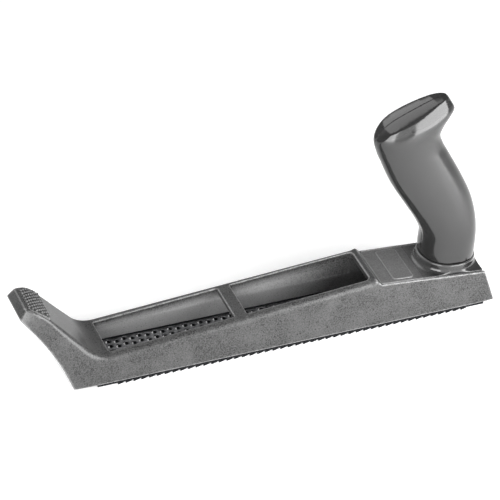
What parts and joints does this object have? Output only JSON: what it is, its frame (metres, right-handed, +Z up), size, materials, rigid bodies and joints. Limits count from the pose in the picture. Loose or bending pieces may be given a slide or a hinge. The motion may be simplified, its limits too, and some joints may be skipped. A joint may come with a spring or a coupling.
{
  "type": "rasp plane",
  "caption": "Hand plane with a perforated rasp blade under an open die-cast frame, a knurled front horn and a swivelling pistol-grip handle.",
  "frame": {"origin": "on the plane of the tooth tips, under the middle of the frame's lower rim, on the middle tooth", "axes": "+X from the toe (horn) to the heel (handle), +Z up from the work, +Y across the frame towards the side with the shell screws"},
  "size_m": [0.2922, 0.046, 0.1406],
  "materials": {
    "body_casting": "hammer-textured grey paint on a die casting",
    "toe_pin": "ground steel pin",
    "tension_washer": "zinc-plated steel",
    "deck_plate": "glossy moulded plastic",
    "deck_screws": "zinc-plated steel",
    "deck_washers": "zinc-plated steel",
    "swivel_washer": "black fibre washer",
    "bolt_washer": "zinc-plated steel",
    "blade": "dark hardened perforated steel",
    "tension_screw": "zinc-plated steel",
    "screw_clip": "blackened spring steel",
    "draw_nut": "machined steel block",
    "handle_left": "glossy moulded plastic",
    "handle_right": "glossy moulded plastic",
    "handle_screws": "zinc-plated steel",
    "handle_bolt": "zinc-plated steel",
    "bolt_spring_washer": "spring steel",
    "nut_plate": "zinc-plated steel",
    "handle_nut": "zinc-plated steel"
  },
  "bodies": {
    "frame": {"body_casting": "body_casting", "toe_pin": "toe_pin", "tension_washer": "tension_washer", "deck_plate": "deck_plate", "deck_screws": "deck_screws", "deck_washers": "deck_washers", "swivel_washer": "swivel_washer", "bolt_washer": "bolt_washer"},
    "blade": {"blade": "blade"},
    "tension_screw": {"tension_screw": "tension_screw", "screw_clip": "screw_clip"},
    "draw_nut": {"draw_nut": "draw_nut"},
    "handle": {"handle_left": "handle_left", "handle_right": "handle_right", "handle_screws": "handle_screws", "handle_bolt": "handle_bolt", "bolt_spring_washer": "bolt_spring_washer", "nut_plate": "nut_plate", "handle_nut": "handle_nut"}
  },
  "joints": [
    {"name": "blade_swing", "type": "hinge", "parent": "frame", "child": "blade", "pos_m": [-0.12145, 0, 0.008], "axis": [0, 1, 0], "range_deg": [0, 60]},
    {"name": "tension_turn", "type": "hinge", "parent": "frame", "child": "tension_screw", "pos_m": [0.128, 0, 0.0078], "axis": [1, 0, 0], "range_deg": [0, 1800]},
    {"name": "draw_slide", "type": "slide", "parent": "frame", "child": "draw_nut", "axis": [-1, 0, 0], "range_m": [0, 0.0035]},
    {"name": "handle_swivel", "type": "hinge", "parent": "frame", "child": "handle", "pos_m": [0.10891, 0, 0.03057], "axis": [0.0855, 0, 0.9963], "range_deg": [-90, 90]}
  ],
  "couplings": [
    {"joint": "tension_turn", "follows": "draw_slide", "rad_per_m": 8976}
  ]
}
